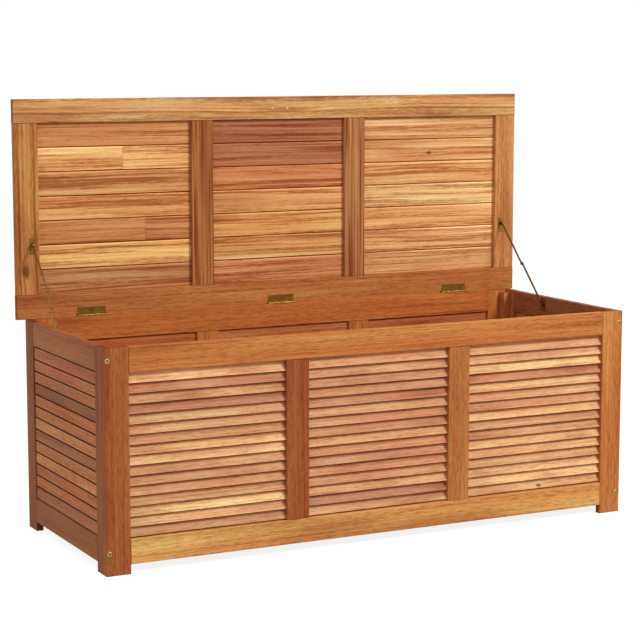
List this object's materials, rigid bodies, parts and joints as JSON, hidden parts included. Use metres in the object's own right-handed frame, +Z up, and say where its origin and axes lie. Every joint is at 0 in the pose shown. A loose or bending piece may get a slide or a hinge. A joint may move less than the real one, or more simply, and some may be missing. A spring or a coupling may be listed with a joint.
{
  "type": "deck storage box",
  "caption": "Wooden deck storage box with a louvred front, slatted sides and floor, short feet, and a slatted lid on butt hinges held upright by folding stays.",
  "frame": {"origin": "bottom centre of the bounding box with the lid open: on the floor under the feet, midway along the length, and midway between the front face and the back of the open lid's handle", "axes": "+X to the right along the box as seen from its front, +Y from the front to the back, +Z up"},
  "size_m": [1.23, 0.504, 0.905],
  "materials": {
    "frame_wood": "oiled acacia, satin, straight to wavy grain with darker streaks and small knots",
    "slat_wood": "oiled acacia, satin, each slat its own tone from pale tan to red-brown",
    "hardware": "antique brass, satin, slightly darkened"
  },
  "bodies": {
    "box": {"front_left_post": "frame_wood", "front_right_post": "frame_wood", "front_top_rail": "frame_wood", "front_bottom_rail": "frame_wood", "front_left_bar": "frame_wood", "front_right_bar": "frame_wood", "louvres_left": "slat_wood", "louvres_centre": "slat_wood", "louvres_right": "slat_wood", "left_front_stile": "frame_wood", "left_rear_stile": "frame_wood", "left_top_rail": "frame_wood", "left_bottom_rail": "frame_wood", "left_slats": "slat_wood", "right_front_stile": "frame_wood", "right_rear_stile": "frame_wood", "right_top_rail": "frame_wood", "right_bottom_rail": "frame_wood", "right_slats": "slat_wood", "back_left_stile": "frame_wood", "back_right_stile": "frame_wood", "back_top_rail": "frame_wood", "back_bottom_rail": "frame_wood", "back_left_bar": "frame_wood", "back_right_bar": "frame_wood", "back_slats_left": "slat_wood", "back_slats_centre": "slat_wood", "back_slats_right": "slat_wood", "corner_battens": "frame_wood", "batten_screws": "hardware", "floor_ledgers": "frame_wood", "floor_boards": "slat_wood", "floor_screws": "hardware", "front_bolts": "hardware", "back_bolts": "hardware", "barrel_nuts": "hardware", "hinge_box_leaves": "hardware", "hinge_pins": "hardware", "hinge_box_screws": "hardware", "stay_box_plates": "hardware", "stay_box_screws": "hardware"},
    "lid": {"lid_front_rail": "frame_wood", "lid_rear_rail": "frame_wood", "lid_left_stile": "frame_wood", "lid_right_stile": "frame_wood", "lid_left_bar": "frame_wood", "lid_right_bar": "frame_wood", "lid_slats_left": "slat_wood", "lid_slats_centre": "slat_wood", "lid_slats_right": "slat_wood", "hinge_lid_leaves": "hardware", "hinge_lid_screws": "hardware", "stay_lid_brackets": "hardware", "stay_lid_screws": "hardware", "lid_handle": "hardware", "handle_screws": "hardware"},
    "left_stay_lower": {"left_lower_arm": "hardware"},
    "left_stay_upper": {"left_upper_arm": "hardware"},
    "right_stay_lower": {"right_lower_arm": "hardware"},
    "right_stay_upper": {"right_upper_arm": "hardware"}
  },
  "joints": [
    {"name": "lid_hinge", "type": "hinge", "parent": "box", "child": "lid", "pos_m": [0, 0.212, 0.445], "axis": [1, 0, 0], "range_deg": [0, 90]},
    {"name": "left_stay_lower_pivot", "type": "hinge", "parent": "box", "child": "left_stay_lower", "pos_m": [-0.5822, 0.035, 0.427], "axis": [1, 0, 0], "range_deg": [-101.29, 0]},
    {"name": "left_stay_upper_pivot", "type": "hinge", "parent": "lid", "child": "left_stay_upper", "pos_m": [-0.5799, 0.2055, 0.601], "axis": [1, 0, 0], "range_deg": [-22.57, 0]},
    {"name": "right_stay_lower_pivot", "type": "hinge", "parent": "box", "child": "right_stay_lower", "pos_m": [0.5822, 0.035, 0.427], "axis": [1, 0, 0], "range_deg": [-101.29, 0]},
    {"name": "right_stay_upper_pivot", "type": "hinge", "parent": "lid", "child": "right_stay_upper", "pos_m": [0.5799, 0.2055, 0.601], "axis": [1, 0, 0], "range_deg": [-22.57, 0]}
  ],
  "couplings": [
    {"joint": "left_stay_lower_pivot", "follows": "lid_hinge", "ratio": -1.1248},
    {"joint": "left_stay_upper_pivot", "follows": "lid_hinge", "ratio": -0.25018},
    {"joint": "right_stay_lower_pivot", "follows": "lid_hinge", "ratio": -1.1248},
    {"joint": "right_stay_upper_pivot", "follows": "lid_hinge", "ratio": -0.25018}
  ]
}
